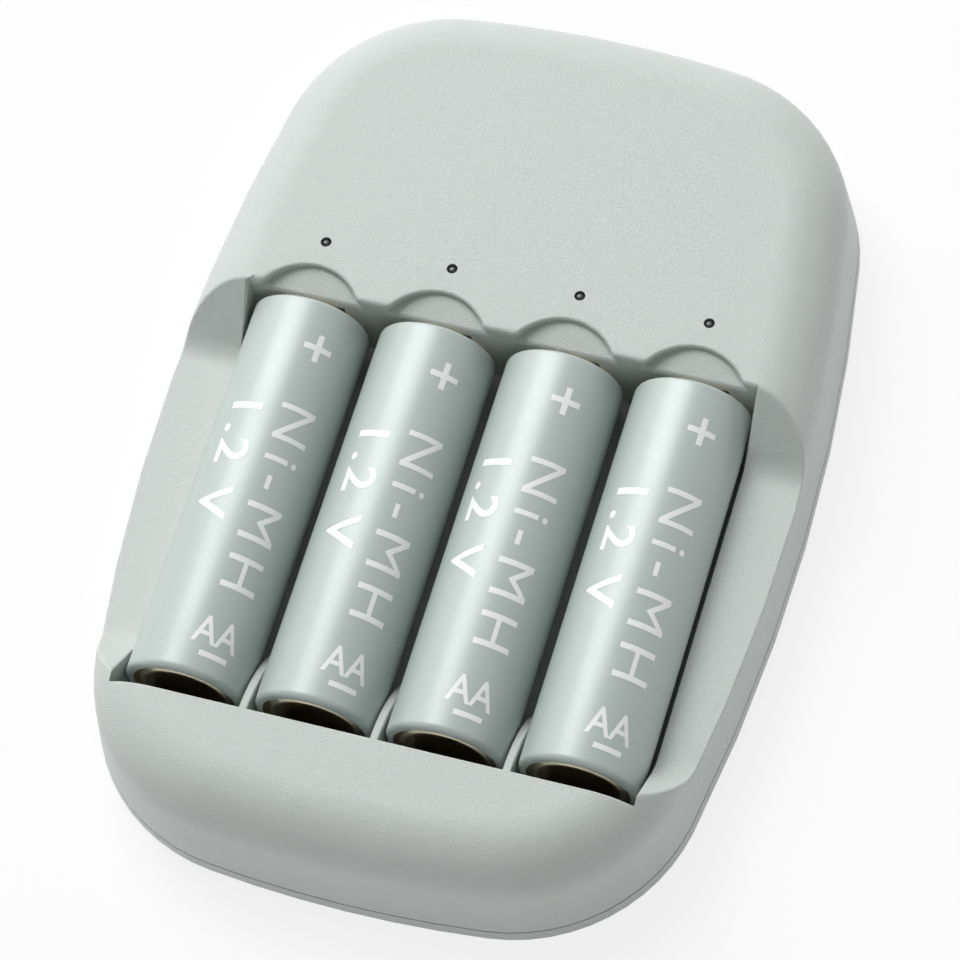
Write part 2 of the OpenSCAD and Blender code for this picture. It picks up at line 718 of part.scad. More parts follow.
module bridge_rectifier() {
    color(black) on_board(rectifier_x, rectifier_y, rectifier_w, rectifier_l, rectifier_h);
}

// The bar behind the minus contacts, with a strip under the bay's floor and a tab up to the board
module negative_bus() {
    color(steel) {
        block([cell_x[0] - tail_w / 2, bus_y - bus_t, bus_z],
            [cell_x[cells - 1] + tail_w / 2, bus_y, bus_z + bus_bar_h]);
        block([-bus_w / 2, bus_y - eps, bus_z], [bus_w / 2, tail_y + bus_t, bus_z + bus_t]);
        block([-bus_w / 2, tail_y, bus_z], [bus_w / 2, tail_y + bus_t, board_top + bus_t]);
    }
}

module positive_contact(k) {
    color(steel) translate([cell_x[k], 0, 0]) {
        bent_strip([[contact_y, contact_foot_z], [contact_y, tail_z]], contact_w);
        bent_strip([[contact_y, tail_z - strip_t], [contact_y, tail_z], [tail_y, tail_z],
            [tail_y, board_z - lead_out]], tail_w);
    }
}

// A tail from the bus, over the near wall's slot, down the wall and out again in a sprung bow
module negative_contact(k) {
    wall_y = bay_near_y + strip_t / 2;
    tip_y = can_end_y - strip_t / 2;
    color(steel) translate([cell_x[k], 0, 0]) {
        bent_strip([[bus_y + strip_t / 2, bus_z], [bus_y + strip_t / 2, tail_z], [wall_y, tail_z],
            [wall_y, tail_z - strip_t]], tail_w);
        bent_strip([[wall_y, tail_z - strip_t / 2], [wall_y, contact_foot_z],
            [wall_y + bow_foot, contact_foot_z - strip_t], [tip_y, cell_axis_z - bow_low],
            [tip_y, cell_axis_z - bow_top], [wall_y + bow_head, tail_z - bow_drop]], contact_w);
    }
}

module light_pipe(k) {
    color(pipe_grey) translate([cell_x[k], indicator_y, 0]) {
        translate([0, 0, board_top + diode_h])
            cylinder(d = pipe_d, h = body_height - board_top - diode_h, $fn = pipe_fn);
        translate([0, 0, ceiling_z - collar_t]) cylinder(d = collar_d, h = collar_t);
    }
}

module indicator_led(k) {
    color(resin) translate([cell_x[k], indicator_y, board_top])
        block([-diode_w / 2, -diode_l / 2, 0], [diode_w / 2, diode_l / 2, diode_h]);
}

module at_cell(k) {
    translate([cell_x[k], cell_start_y, cell_axis_z]) rotate([-90, 0, 0]) children();
}

module cell(k) {
    color(nickel) at_cell(k) rotate_extrude($fn = arc_fn) polygon(can_points);
}

module sleeve(k) {
    color(sleeve_grey) at_cell(k) rotate_extrude($fn = arc_fn) polygon(sleeve_points);
}

top_housing();
base_cover();
housing_screws();
circuit_board();
board_screws();
mains_inlet();
inlet_pin(-1);  // inlet_pin_left
inlet_pin(1);  // inlet_pin_right
transformer();
input_capacitor();
output_capacitor();
control_chip();
fuse();
bridge_rectifier();
negative_bus();
for (k = [0:cells - 1]) {
    positive_contact(k);
    negative_contact(k);
    light_pipe(k);
    indicator_led(k);
    cell(k);
    sleeve(k);
}
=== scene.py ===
import math

import bmesh
import bpy
from mathutils import Matrix, Vector


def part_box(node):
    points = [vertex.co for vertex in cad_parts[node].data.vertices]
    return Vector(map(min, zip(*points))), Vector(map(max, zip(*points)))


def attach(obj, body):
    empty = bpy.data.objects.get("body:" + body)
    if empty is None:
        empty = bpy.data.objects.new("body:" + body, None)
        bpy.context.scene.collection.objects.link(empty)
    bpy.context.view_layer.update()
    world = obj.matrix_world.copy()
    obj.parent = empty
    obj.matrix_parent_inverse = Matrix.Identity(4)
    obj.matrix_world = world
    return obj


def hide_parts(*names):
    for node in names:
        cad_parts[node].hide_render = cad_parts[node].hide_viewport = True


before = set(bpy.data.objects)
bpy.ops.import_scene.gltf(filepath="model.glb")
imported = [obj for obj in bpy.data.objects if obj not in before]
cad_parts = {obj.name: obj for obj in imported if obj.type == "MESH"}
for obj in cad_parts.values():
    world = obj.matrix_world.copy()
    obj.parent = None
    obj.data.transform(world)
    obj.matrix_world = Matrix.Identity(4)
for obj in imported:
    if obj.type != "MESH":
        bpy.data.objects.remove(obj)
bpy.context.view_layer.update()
scene = bpy.context.scene
scene.view_settings.view_transform = "Standard"
mm = 0.001
print("frame loaded with", len(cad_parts), "nodes")

# camera, solved from the cells' edges and the bay's corners, with its angles in degrees
photoCamera = {
    "azimuth": 28.74,
    "elevation": 63.10,
    "roll": -13.49,
    "aim": (2.55 * mm, -6.26 * mm, 14.2 * mm),
    "distance": 502.4 * mm,
    "focalPixels": 4365,
    "imagePixels": 960,
    "sensor": 36,
    "nearest": 0.01,
}


def placeCamera(p):
    azimuth, elevation, roll = (math.radians(p[k]) for k in ("azimuth", "elevation", "roll"))
    back = Vector((math.sin(azimuth) * math.cos(elevation), -math.cos(azimuth) * math.cos(elevation),
                   math.sin(elevation)))
    level = Vector((math.cos(azimuth), math.sin(azimuth), 0))
    upright = back.cross(level)
    right = math.cos(roll) * level + math.sin(roll) * upright
    up = math.cos(roll) * upright - math.sin(roll) * level
    lens = bpy.data.cameras.new("photoCamera")
    lens.sensor_fit = "HORIZONTAL"
    lens.sensor_width = p["sensor"]
    lens.lens = p["sensor"] * p["focalPixels"] / p["imagePixels"]
    lens.clip_start = p["nearest"]
    camera = bpy.data.objects.new("photoCamera", lens)
    scene.collection.objects.link(camera)
    turn = Matrix((right, up, back)).transposed().to_4x4()
    camera.matrix_world = Matrix.Translation(Vector(p["aim"]) + back * p["distance"]) @ turn
    scene.camera = camera


placeCamera(photoCamera)
print("camera placed")


# shader helpers; a node's settings are keywords, and its inputs are given by name or place
def addNode(tree, kind, inputs=(), **settings):
    node = tree.nodes.new(kind)
    for name, value in settings.items():
        setattr(node, name, value)
    for key, value in dict(inputs).items():
        node.inputs[key].default_value = value
    return node


def newGroup(name, inputs, outputs):
    group = bpy.data.node_groups.new(name, "ShaderNodeTree")
    for way, sockets in (("INPUT", inputs), ("OUTPUT", outputs)):
        for label, kind in sockets.items():
            group.interface.new_socket(name=label, in_out=way, socket_type="NodeSocket" + kind)
    return group, group.nodes.new("NodeGroupInput"), group.nodes.new("NodeGroupOutput")


# fine spark grain of a mould: soft dots of two sizes, Coarse being the share of the broad ones
grainDots = {
    "fine": {"Detail": 2.0, "Roughness": 0.55},
    "broad": {"Detail": 1.0, "Roughness": 0.5},
    "broadScale": 0.37,
}


def makeMouldGrain(p):
    group, take, give = newGroup("mouldGrain", {"Vector": "Vector", "Scale": "Float", "Coarse": "Float"},
                                 {"Height": "Float"})
    fine, broad = (addNode(group, "ShaderNodeTexNoise", p[size]) for size in ("fine", "broad"))
    broader = addNode(group, "ShaderNodeMath", {1: p["broadScale"]}, operation="MULTIPLY")
    blend = addNode(group, "ShaderNodeMix", data_type="FLOAT")
    group.links.new(take.outputs["Vector"], fine.inputs["Vector"])
    group.links.new(take.outputs["Vector"], broad.inputs["Vector"])
    group.links.new(take.outputs["Scale"], fine.inputs["Scale"])
    group.links.new(take.outputs["Scale"], broader.inputs[0])
    group.links.new(broader.outputs[0], broad.inputs["Scale"])
    group.links.new(take.outputs["Coarse"], blend.inputs[0])
    group.links.new(fine.outputs[0], blend.inputs[2])
    group.links.new(broad.outputs[0], blend.inputs[3])
    group.links.new(blend.outputs[0], give.inputs["Height"])
    return group


# slow drift between two close tones, with a little fine mottle
driftNoise = {"mottle": {"Detail": 5.0, "Roughness": 0.65}, "reach": {"From Min": 0.3, "From Max": 0.7}}


def makeToneDrift(p):
    group, take, give = newGroup(
        "toneDrift", {"Vector": "Vector", "Tone": "Color", "Other Tone": "Color", "Scale": "Float"},
        {"Color": "Color", "Mask": "Float"})
    noise = addNode(group, "ShaderNodeTexNoise", p["mottle"])
    reach = addNode(group, "ShaderNodeMapRange", p["reach"])
    blend = addNode(group, "ShaderNodeMix", data_type="RGBA")
    group.links.new(take.outputs["Vector"], noise.inputs["Vector"])
    group.links.new(take.outputs["Scale"], noise.inputs["Scale"])
    group.links.new(noise.outputs[0], reach.inputs["Value"])
    group.links.new(reach.outputs[0], blend.inputs[0])
    group.links.new(take.outputs["Tone"], blend.inputs[6])
    group.links.new(take.outputs["Other Tone"], blend.inputs[7])
    group.links.new(blend.outputs[2], give.inputs["Color"])
    group.links.new(reach.outputs[0], give.inputs["Mask"])
    return group


# drawn lines: noise stretched along the charger's length
lineNoise = {"streaks": {"Detail": 3.0, "Roughness": 0.6}, "stretch": (1, 0.06, 1)}


def makeDrawnLines(p):
    group, take, give = newGroup("drawnLines", {"Vector": "Vector", "Scale": "Float"}, {"Lines": "Float"})
    stretch = addNode(group, "ShaderNodeVectorMath", {1: p["stretch"]}, operation="MULTIPLY")
    noise = addNode(group, "ShaderNodeTexNoise", p["streaks"])
    group.links.new(take.outputs["Vector"], stretch.inputs[0])
    group.links.new(stretch.outputs[0], noise.inputs["Vector"])
    group.links.new(take.outputs["Scale"], noise.inputs["Scale"])
    group.links.new(noise.outputs[0], give.inputs["Lines"])
    return group


mouldGrain = makeMouldGrain(grainDots)
toneDrift = makeToneDrift(driftNoise)
drawnLines = makeDrawnLines(lineNoise)


def newMaterial(name):
    material = bpy.data.materials.new(name)
    material.use_nodes = True
    tree = material.node_tree
    shader = next(n for n in tree.nodes if n.type == "BSDF_PRINCIPLED")
    place = addNode(tree, "ShaderNodeTexCoord")
    return material, tree, shader, place.outputs["Object"]


def useGroup(tree, group, vector, inputs):
    node = addNode(tree, "ShaderNodeGroup", inputs, node_tree=group)
    tree.links.new(vector, node.inputs["Vector"])
    return node


def driftTones(tree, vector, tone, other, scale):
    return useGroup(tree, toneDrift, vector, {"Tone": (*tone, 1), "Other Tone": (*other, 1), "Scale": scale})


def roughFrom(tree, value, shader, low, high):
    reach = addNode(tree, "ShaderNodeMapRange", {"To Min": low, "To Max": high})
    tree.links.new(value, reach.inputs["Value"])
    tree.links.new(reach.outputs[0], shader.inputs["Roughness"])


def bumpFrom(tree, height, shader, strength, distance):
    bump = addNode(tree, "ShaderNodeBump", {"Strength": strength, "Distance": distance})
    tree.links.new(height, bump.inputs["Height"])
    tree.links.new(bump.outputs[0], shader.inputs["Normal"])


# a moulded plastic of any colour, its grain's depth in millimetres
mouldedLook = {"drift": 55, "spread": 0.04, "coarse": 0.12}


def mouldedPlastic(name, tone, other, roughness, grain, depth):
    p = mouldedLook
    material, tree, shader, place = newMaterial(name)
    drift = driftTones(tree, place, tone, other, p["drift"])
    tree.links.new(drift.outputs["Color"], shader.inputs["Base Color"])
    roughFrom(tree, drift.outputs["Mask"], shader, roughness - p["spread"], roughness + p["spread"])
    dots = useGroup(tree, mouldGrain, place, {"Scale": grain, "Coarse": p["coarse"]})
    bumpFrom(tree, dots.outputs["Height"], shader, 1, depth * mm)
    return material


# a plated metal with drawn lines
platedLook = {"drift": 260, "smoother": 0.08, "rougher": 0.1, "lineDepth": 0.02 * mm}


def platedMetal(name, tone, other, roughness, lines, strength):
    p = platedLook
    material, tree, shader, place = newMaterial(name)
    drift = driftTones(tree, place, tone, other, p["drift"])
    tree.links.new(drift.outputs["Color"], shader.inputs["Base Color"])
    shader.inputs["Metallic"].default_value = 1
    streaks = useGroup(tree, drawnLines, place, {"Scale": lines})
    roughFrom(tree, streaks.outputs["Lines"], shader, roughness - p["smoother"], roughness + p["rougher"])
    bumpFrom(tree, streaks.outputs["Lines"], shader, strength, p["lineDepth"])
    return material


# a can's nickel, with painted shade on the flat of its minus end: the can's own attribute mixes in a dark
# brown that stands in for the dark bay the metal reflects there
canLook = {"drift": 260, "smoother": 0.05, "rougher": 0.08}


def canMetal(name, tone, other, paintedShade, roughness):
    p = canLook
    material, tree, shader, place = newMaterial(name)
    drift = driftTones(tree, place, tone, other, p["drift"])
    shade = addNode(tree, "ShaderNodeAttribute", attribute_name="endShade")
    # painted shade: where endShade is 1 the base colour is mixed to the dark third tone, a painted reflection
    # of the shaded bay
    blend = addNode(tree, "ShaderNodeMix", {7: (*paintedShade, 1)}, data_type="RGBA")
    tree.links.new(shade.outputs["Fac"], blend.inputs[0])
    tree.links.new(drift.outputs["Color"], blend.inputs[6])
    tree.links.new(blend.outputs[2], shader.inputs["Base Color"])
    shader.inputs["Metallic"].default_value = 1
    roughFrom(tree, drift.outputs["Mask"], shader, roughness - p["smoother"], roughness + p["rougher"])
    return material


# the satin film shrunk over each cell
filmLook = {
    "drift": 90,
    "smoother": 0.03,
    "rougher": 0.04,
    "metallic": 0.08,
    "coat": 0.12,
    "coatRoughness": 0.2,
    "grain": 900,
    "coarse": 0.7,
    "bump": 0.05,
    "depth": 0.03 * mm,
}


def sleeveFilm(name, tone, other, roughness):
    p = filmLook
    material, tree, shader, place = newMaterial(name)
    drift = driftTones(tree, place, tone, other, p["drift"])
    tree.links.new(drift.outputs["Color"], shader.inputs["Base Color"])
    roughFrom(tree, drift.outputs["Mask"], shader, roughness - p["smoother"], roughness + p["rougher"])
    shader.inputs["Metallic"].default_value = p["metallic"]
    shader.inputs["Coat Weight"].default_value = p["coat"]
    shader.inputs["Coat Roughness"].default_value = p["coatRoughness"]
    dots = useGroup(tree, mouldGrain, place, {"Scale": p["grain"], "Coarse": p["coarse"]})
    bumpFrom(tree, dots.outputs["Height"], shader, p["bump"], p["depth"])
    return material


# dark smoked rod whose domed tip is paler in the middle, by the tip's own attribute
tipLook = {"rimEnd": 0.35, "coreStart": 0.75, "grain": 4000, "coarse": 0.5, "smooth": 0.12, "rough": 0.3}


def smokedTip(name, rim, core):
    p = tipLook
    material, tree, shader, place = newMaterial(name)
    middle = addNode(tree, "ShaderNodeAttribute", attribute_name="tipMiddle")
    ramp = addNode(tree, "ShaderNodeValToRGB")
    ends = (p["rimEnd"], rim), (p["coreStart"], core)
    for element, (position, tone) in zip(ramp.color_ramp.elements, ends):
        element.position = position
        element.color = (*tone, 1)
    tree.links.new(middle.outputs["Fac"], ramp.inputs["Fac"])
    tree.links.new(ramp.outputs["Color"], shader.inputs["Base Color"])
    dots = useGroup(tree, mouldGrain, place, {"Scale": p["grain"], "Coarse": p["coarse"]})
    roughFrom(tree, dots.outputs["Height"], shader, p["smooth"], p["rough"])
    return material


# moulded plastics and films: name, two close tones, roughness, scale and depth of the grain
plastics = {
    "housing": ("paleHousingPlastic", (0.585, 0.628, 0.606), (0.605, 0.645, 0.625), 0.4, 6500, 0.12),
    "board": ("solderMask", (0.02, 0.15, 0.06), (0.03, 0.19, 0.08), 0.34, 1600, 0.005),
    "black_plastic": ("blackMoulding", (0.022, 0.022, 0.023), (0.03, 0.03, 0.031), 0.48, 2600, 0.03),
    "coil_tape": ("coilTape", (0.55, 0.36, 0.05), (0.62, 0.42, 0.08), 0.42, 1200, 0.01),
    "capacitor_sleeve": ("capacitorFilm", (0.02, 0.03, 0.07), (0.03, 0.04, 0.09), 0.3, 1500, 0.005),
    "led": ("diodeResin", (0.74, 0.74, 0.62), (0.8, 0.8, 0.7), 0.25, 2000, 0.003),
    "ink": ("whiteInk", (0.88, 0.91, 0.9), (0.92, 0.94, 0.93), 0.42, 2200, 0.003),
}
# plated metals: name, two close tones, roughness, scale of the drawn lines and strength of their bump
metals = {
    "steel": ("zincSteel", (0.56, 0.56, 0.55), (0.48, 0.48, 0.47), 0.34, 1400, 0.1),
    "nickel": ("springNickel", (0.6, 0.57, 0.52), (0.5, 0.47, 0.42), 0.28, 1100, 0.08),
}
finishes = {slot: mouldedPlastic(*values) for slot, values in plastics.items()}
finishes.update({slot: platedMetal(*values) for slot, values in metals.items()})
finishes["light_pipe"] = smokedTip("smokedPipe", (0.012, 0.013, 0.013), (0.1, 0.11, 0.105))
# the can's third tone is painted shade: the dark reflection of the bay, painted on the minus ends' flats
finishes["cell_can"] = canMetal("canNickel", (0.92, 0.82, 0.64), (0.84, 0.74, 0.57), (0.34, 0.29, 0.2), 0.3)
finishes["cell_sleeve"] = sleeveFilm("sleeveFilm", (0.475, 0.545, 0.522), (0.49, 0.56, 0.537), 0.4)
print("finishes made:", len(finishes))


# piece helpers; edges that turn by more than smooth degrees stay sharp
def addPiece(name, bm, material, replaces=(), smooth=60):
    mesh = bpy.data.meshes.new(name)
    bmesh.ops.recalc_face_normals(bm, faces=bm.faces)
    bm.normal_update()
    for face in bm.faces:
        face.smooth = True
    for edge in bm.edges:
        edge.smooth = edge.is_manifold and edge.calc_face_angle() < math.radians(smooth)
    bm.to_mesh(mesh)
    bm.free()
    mesh.materials.append(material)
    piece = bpy.data.objects.new(name, mesh)
    scene.collection.objects.link(piece)
    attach(piece, "root")
    if replaces:
        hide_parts(*replaces)
    return piece


# a rounded corner of a profile, as points from one angle to another
def roundOff(centre, radius, start, end, steps):
    turn = [math.radians(start + (end - start) * i / steps) for i in range(steps + 1)]
    return [(centre[0] + radius * math.cos(a), centre[1] + radius * math.sin(a)) for a in turn]


spinMerge = 0.001 * mm


# a profile of (radius, length) points spun about a line through axisPoint along axis
def spinProfile(points, axisPoint, axis, side, segments, closed):
    bm = bmesh.new()
    axis, side, axisPoint = Vector(axis), Vector(side), Vector(axisPoint)
    verts = [bm.verts.new(axisPoint + side * r + axis * y) for r, y in points]
    ring = verts + verts[:1] if closed else verts
    edges = [bm.edges.new(pair) for pair in zip(ring, ring[1:])]
    bmesh.ops.spin(bm, geom=verts + edges, cent=axisPoint, axis=axis, angle=math.tau, steps=segments,
                   use_merge=True)
    bmesh.ops.remove_doubles(bm, verts=bm.verts, dist=spinMerge)
    return bm


# shells: a merged copy of the CAD solid, with the outer edges inside each zone's boxes rounded;
# first the scallops and the bay's far rim, then its near rim, the two rails and the ribs;
# the boxes are in millimetres, and shellMesh has its angles in degrees
shells = {
    "top_housing": {
        "name": "housingShell",
        "zones": [
            {"edge": 0.55 * mm, "shortest": 0, "boxes": [((-30.9, 11.3, 15.4), (30.9, 15.5, 18))]},
            {"edge": 0.25 * mm, "shortest": 0.5 * mm, "boxes": [
                ((-31.1, -41.4, 15.3), (31.1, -41.0, 18)),
                ((-40, -39.85, 9.8), (-31.2, 11.35, 18)),
                ((31.2, -39.85, 9.8), (40, 11.35, 18)),
                ((-31.1, -39.85, 11), (31.1, 11.35, 18)),
                ((-24, -41.1, 6), (24, -30, 14))]},
        ],
    },
    "base_cover": {"name": "coverShell", "zones": []},
}
shellMesh = {
    "merge": 0.03 * mm,
    "flat": 0.4,
    "roundFrom": 25,
    "segments": 4,
    "needle": 0.3 * mm,
    "needleAngle": 20,
    "smooth": 20,
}


def insideBox(point, box):
    return all(low < c < high for low, c, high in zip(box[0], point, box[1]))


def roundedEdges(bm, zone, least):
    found = []
    for edge in bm.edges:
        middle = (edge.verts[0].co + edge.verts[1].co) / (2 * mm)
        outer = edge.is_manifold and edge.is_convex and edge.calc_face_angle() > math.radians(least)
        if outer and any(insideBox(middle, box) for box in zone["boxes"]):
            found.append(edge)
    return found


# where a shallow edge meets a rounded rim a needle can be left; its tip goes back to its neighbour
def trimNeedles(bm, longest, widest):
    tips = {}
    for loop in (loop for face in bm.faces if len(face.verts) > 3 for loop in face.loops):
        ends = loop.link_loop_next.vert, loop.link_loop_prev.vert
        near = min(ends, key=lambda v: (v.co - loop.vert.co).length)
        short = (near.co - loop.vert.co).length < longest
        if short and loop.calc_angle() < math.radians(widest) and near not in tips:
            tips[loop.vert] = near
    bmesh.ops.weld_verts(bm, targetmap=tips)


def roundedShell(node, p, m):
    bm = bmesh.new()
    bm.from_mesh(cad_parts[node].data)
    bmesh.ops.remove_doubles(bm, verts=bm.verts, dist=m["merge"])
    bmesh.ops.dissolve_degenerate(bm, dist=m["merge"], edges=bm.edges)
    bmesh.ops.dissolve_limit(bm, angle_limit=math.radians(m["flat"]), verts=bm.verts, edges=bm.edges)
    for zone in p["zones"]:
        short = [e for e in roundedEdges(bm, zone, m["roundFrom"]) if e.calc_length() < zone["shortest"]]
        bmesh.ops.collapse(bm, edges=short)
        bmesh.ops.bevel(bm, geom=roundedEdges(bm, zone, m["roundFrom"]), offset=zone["edge"],
                        offset_type="OFFSET", affect="EDGES", segments=m["segments"], profile=0.5,
                        material=-1, clamp_overlap=False, loop_slide=True)
        trimNeedles(bm, m["needle"], m["needleAngle"])
    bmesh.ops.triangulate(bm, faces=[f for f in bm.faces if len(f.verts) > 4])
    piece = addPiece(p["name"], bm, finishes["housing"], [node], m["smooth"])
    piece.modifiers.new("faceWeights", "WEIGHTED_NORMAL").keep_sharp = True
    return piece


for node, values in shells.items():
    piece = roundedShell(node, values, shellMesh)
    print(values["name"], len(piece.data.polygons), "faces")

# cells: sleeves, cans and printing share the cells' places; a can's corners have canBend of the
# radius that the film leaves them
cells = {
    "count": 4,
    "pitch": 15.63 * mm,
    "startY": -38.9 * mm,
    "axisZ": 11.2 * mm,
    "radius": 7.12 * mm,
    "film": 0.2 * mm,
    "sleeveLength": 49 * mm,
    "cellLength": 50.4 * mm,
    "minusBend": 0.75 * mm,
    "plusBend": 0.5 * mm,
    "minusHem": 6.1 * mm,
    "plusHem": 5.2 * mm,
    "minusLip": 0.08 * mm,
    "plusLip": 0.12 * mm,
    "canBend": 0.98,
    "discRadius": 5.6 * mm,
    "discEdge": 0.5 * mm,
    "discGroove": 0.55 * mm,
    "button": 2.75 * mm,
    "buttonFoot": 0.3 * mm,
    "buttonEdge": 0.35 * mm,
    "segments": 96,
}


def cellAxis(k):
    return Vector(((k - (cells["count"] - 1) / 2) * cells["pitch"], cells["startY"], cells["axisZ"]))


def makeSleeve(k):
    p = cells
    outer, film, high = p["radius"], p["film"], p["sleeveLength"]
    minus, plus, minusHem, plusHem = p["minusBend"], p["plusBend"], p["minusHem"], p["plusHem"]
    profile = [(minusHem, 0.5 * film), (minusHem + p["minusLip"], 0)]
    profile += roundOff((outer - minus, minus), minus, -90, 0, steps=10)
    profile += roundOff((outer - plus, high - plus), plus, 0, 90, steps=10)
    profile += [(plusHem + p["plusLip"], high), (plusHem, high - 0.5 * film), (plusHem, high - film)]
    profile += roundOff((outer - plus, high - plus), plus - film, 90, 0, steps=6)
    profile += roundOff((outer - minus, minus), minus - film, 0, -90, steps=6)
    profile += [(minusHem, film)]
    bm = spinProfile(profile, cellAxis(k), (0, 1, 0), (1, 0, 0), p["segments"], closed=True)
    addPiece(f"sleeve{k + 1}", bm, finishes["cell_sleeve"], [f"sleeve_{k + 1}"], smooth=50)


# the minus disc has a chamfer, which shows as a bright ring round its flat; the flat's dark tone is painted
# shade
def makeCan(k):
    p = cells
    radius, low = p["radius"] - p["film"], p["film"]
    high, tip = p["sleeveLength"] - p["film"], p["cellLength"]
    disc, edge, groove = p["discRadius"], p["discEdge"], low + p["discGroove"]
    button, foot, rim = p["button"], p["buttonFoot"], p["buttonEdge"]
    minus, plus, bend = p["minusBend"] - p["film"], p["plusBend"] - p["film"], p["canBend"]
    # painted shade: the flat inside this radius is painted dark through endShade
    shadeRadius = disc - 2 * edge
    profile = [(0, low), (shadeRadius, low), (disc - edge, low), (disc, low + edge)]
    profile += [(disc, groove), (radius - minus, groove)]
    profile += roundOff((radius - minus, minus + low), minus * bend, -20, 0, steps=4)
    profile += roundOff((radius - plus, high - plus), plus * bend, 0, 90, steps=6)
    profile += [(button + foot, high)]
    profile += roundOff((button + foot, high + foot), foot, -90, -180, steps=4)
    profile += roundOff((button - rim, tip - rim), rim, 0, 90, steps=5)
    profile += [(0, tip)]
    axis = cellAxis(k)
    bm = spinProfile(profile, axis, (0, 1, 0), (1, 0, 0), p["segments"], closed=False)
    piece = addPiece(f"can{k + 1}", bm, finishes["cell_can"], [f"cell_{k + 1}"], smooth=40)
    # endShade is 1 on the painted shade of the minus flat and 0 elsewhere
    shade = piece.data.attributes.new("endShade", "FLOAT", "POINT")
    for i, v in enumerate(piece.data.vertices):
        out = math.hypot(v.co.x - axis.x, v.co.z - axis.z)
        onFlat = v.co.y - axis.y < low + edge / 2 and out < shadeRadius + edge / 2
        shade.data[i].value = 1 if onFlat else 0


for k in range(cells["count"]):
    makeSleeve(k)
    makeCan(k)
print("cells made")

# printing, in millimetres on the sleeve and degrees round it: plain marks and generic words
printing = {
    "lift": 0.012 * mm,
    "ink": 0.012 * mm,
    "stripAngle": 2.5,
    "stripsEachWay": 24,
    "turns": [2, 1, -7, -2],
    "curveSteps": 6,
    "plus": {"angle": 27, "y": 18.5, "span": 3.5, "bar": 0.72},
    "minus": {"angle": 29, "y": -21.8, "span": 3.5, "bar": 0.66},
    "size": {"words": "AA", "angle": 26, "y": -18.9, "length": 5.6, "height": 3.4, "along": False,
             "spacing": 1.0, "weight": 0.012},
    "kind": {"words": "Ni-MH", "angle": 30, "y": -1.3, "length": 24, "height": 4.4, "along": True,
             "spacing": 1.3, "weight": 0},
    "volts": {"words": "1.2 V", "angle": -21, "y": 2.1, "length": 15.4, "height": 4.2, "along": True,
              "spacing": 1.15, "weight": 0.014},
}
wordMerge = 0.0005
cutMerge = 0.0001


# words laid flat round the origin, scaled to their length and height
def flatWords(p):
    curve = bpy.data.curves.new("words", "FONT")
    curve.body = p["words"]
    curve.space_character = p["spacing"]
    curve.offset = p["weight"]
    curve.resolution_u = printing["curveSteps"]
    holder = bpy.data.objects.new("words", curve)
    scene.collection.objects.link(holder)
    bpy.context.view_layer.update()
    mesh = bpy.data.meshes.new_from_object(holder.evaluated_get(bpy.context.evaluated_depsgraph_get()))
    bm = bmesh.new()
    bm.from_mesh(mesh)
    bpy.data.objects.remove(holder)
    bpy.data.curves.remove(curve)
    bpy.data.meshes.remove(mesh)
    bmesh.ops.remove_doubles(bm, verts=bm.verts, dist=wordMerge)
    left, right = min(v.co.x for v in bm.verts), max(v.co.x for v in bm.verts)
    foot, head = min(v.co.y for v in bm.verts), max(v.co.y for v in bm.verts)
    bmesh.ops.translate(bm, verts=bm.verts, vec=(-(left + right) / 2, -(foot + head) / 2, 0))
    bmesh.ops.scale(bm, verts=bm.verts, vec=(p["length"] / (right - left), p["height"] / (head - foot), 1))
    if p["along"]:
        bmesh.ops.rotate(bm, verts=bm.verts, matrix=Matrix.Rotation(math.radians(-90), 3, "Z"))
    return bm


# one bar across, and for a plus a second one grown from its middle
def flatBars(p, crossed):
    bm = bmesh.new()
    bmesh.ops.create_grid(bm, x_segments=1, y_segments=1, size=p["bar"] / 2)
    grow = (p["span"] - p["bar"]) / 2
    for edge in list(bm.edges):
        out = (edge.verts[0].co + edge.verts[1].co).normalized()
        if not crossed and abs(out.y) > abs(out.x):
            continue
        new = bmesh.ops.extrude_edge_only(bm, edges=[edge])
        moved = [v for v in new["geom"] if isinstance(v, bmesh.types.BMVert)]
        bmesh.ops.translate(bm, verts=moved, vec=out * grow)
    return bm


# the flat mark is cut in narrow strips, wrapped round the sleeve and added to the target
def wrapMark(bm, target, k, p):
    radius = cells["radius"] / mm
    turn = math.radians(p["angle"] + printing["turns"][k])
    bmesh.ops.translate(bm, verts=bm.verts, vec=(turn * radius, p["y"], 0))
    pitch = math.radians(printing["stripAngle"]) * radius
    for i in range(-printing["stripsEachWay"], printing["stripsEachWay"] + 1):
        bmesh.ops.bisect_plane(bm, geom=bm.verts[:] + bm.edges[:] + bm.faces[:], dist=cutMerge,
                               plane_co=(i * pitch, 0, 0), plane_no=(1, 0, 0))
    centre = cellAxis(k) + Vector((0, cells["sleeveLength"] / 2, 0))
    out = cells["radius"] + printing["lift"]
    for v in bm.verts:
        a = v.co.x / radius
        v.co = centre + Vector((out * math.sin(a), v.co.y * mm, out * math.cos(a)))
    bmesh.ops.recalc_face_normals(bm, faces=bm.faces)
    mesh = bpy.data.meshes.new("mark")
    bm.to_mesh(mesh)
    bm.free()
    target.from_mesh(mesh)
    bpy.data.meshes.remove(mesh)


def makePrint(k):
    bm = bmesh.new()
    wrapMark(flatBars(printing["plus"], crossed=True), bm, k, printing["plus"])
    wrapMark(flatBars(printing["minus"], crossed=False), bm, k, printing["minus"])
    for mark in ("size", "kind", "volts"):
        wrapMark(flatWords(printing[mark]), bm, k, printing[mark])
    bmesh.ops.solidify(bm, geom=bm.faces[:], thickness=-printing["ink"])
    addPiece(f"sleevePrint{k + 1}", bm, finishes["ink"], smooth=30)


